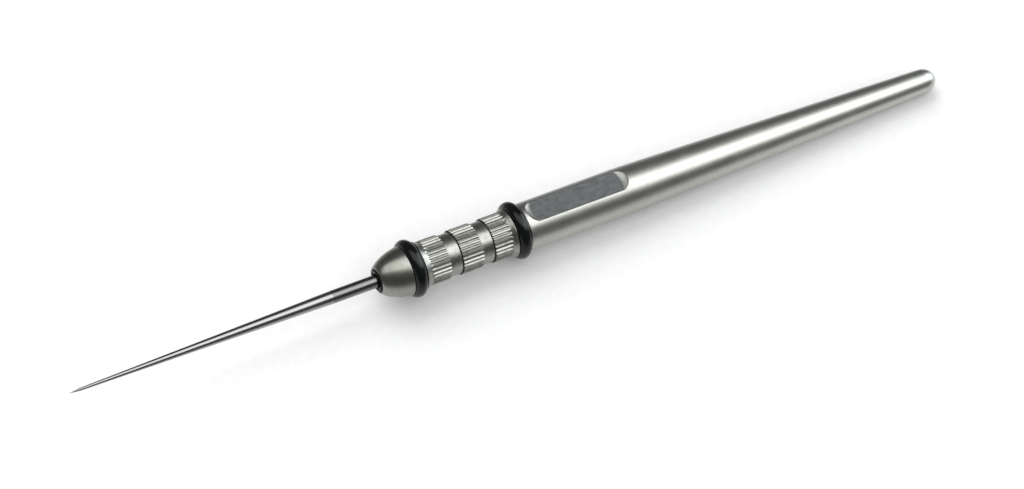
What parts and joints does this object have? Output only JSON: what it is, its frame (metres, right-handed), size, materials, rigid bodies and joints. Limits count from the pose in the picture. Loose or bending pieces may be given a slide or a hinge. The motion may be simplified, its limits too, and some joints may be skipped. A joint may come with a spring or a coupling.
{
  "type": "needle probe",
  "caption": "Slim steel needle probe: a long tapered needle held by a collet under a screwed nose, with a knurled grip, rubber rings and a tapered handle.",
  "frame": {"origin": "centre of the tool's length, on its centre plane, at the height of the lowest point of the two rubber rings", "axes": "+X along the tool's axis from the needle's point to the round tail, +Z out of the milled flat, +Y to the left when looking along +X"},
  "size_m": [0.14, 0.0086, 0.0086],
  "materials": {
    "handle_steel": "satin stainless steel, fine turning marks, bead-blasted milled flat",
    "grip_steel": "satin stainless steel, straight knurl, turned grooves and cones",
    "nose_steel": "satin stainless steel, fine turning marks",
    "collet_steel": "hardened spring steel, fine ground",
    "needle_steel": "polished hardened steel with fine grinding lines along the taper",
    "black_rubber": "smooth black nitrile rubber with a soft gloss"
  },
  "bodies": {
    "handle_and_grip": {"handle": "handle_steel", "knurled_grip": "grip_steel", "front_o_ring": "black_rubber", "rear_o_ring": "black_rubber"},
    "nose_follower": {"collet": "collet_steel", "needle_o_ring": "black_rubber"},
    "nose": {"nose_cap": "nose_steel"},
    "needle": {"needle": "needle_steel"}
  },
  "joints": [
    {"name": "nose_travel", "type": "slide", "parent": "handle_and_grip", "child": "nose_follower", "axis": [-1, 0, 0], "range_m": [0, 0.002]},
    {"name": "nose_turn", "type": "hinge", "parent": "nose_follower", "child": "nose", "pos_m": [-0.02, 0, 0.00428], "axis": [-1, 0, 0], "range_deg": [0, 1440]},
    {"name": "needle_slide", "type": "slide", "parent": "handle_and_grip", "child": "needle", "axis": [-1, 0, 0], "range_m": [0, 0.033]}
  ],
  "couplings": [
    {"joint": "nose_turn", "follows": "nose_travel", "rad_per_m": 12566}
  ]
}
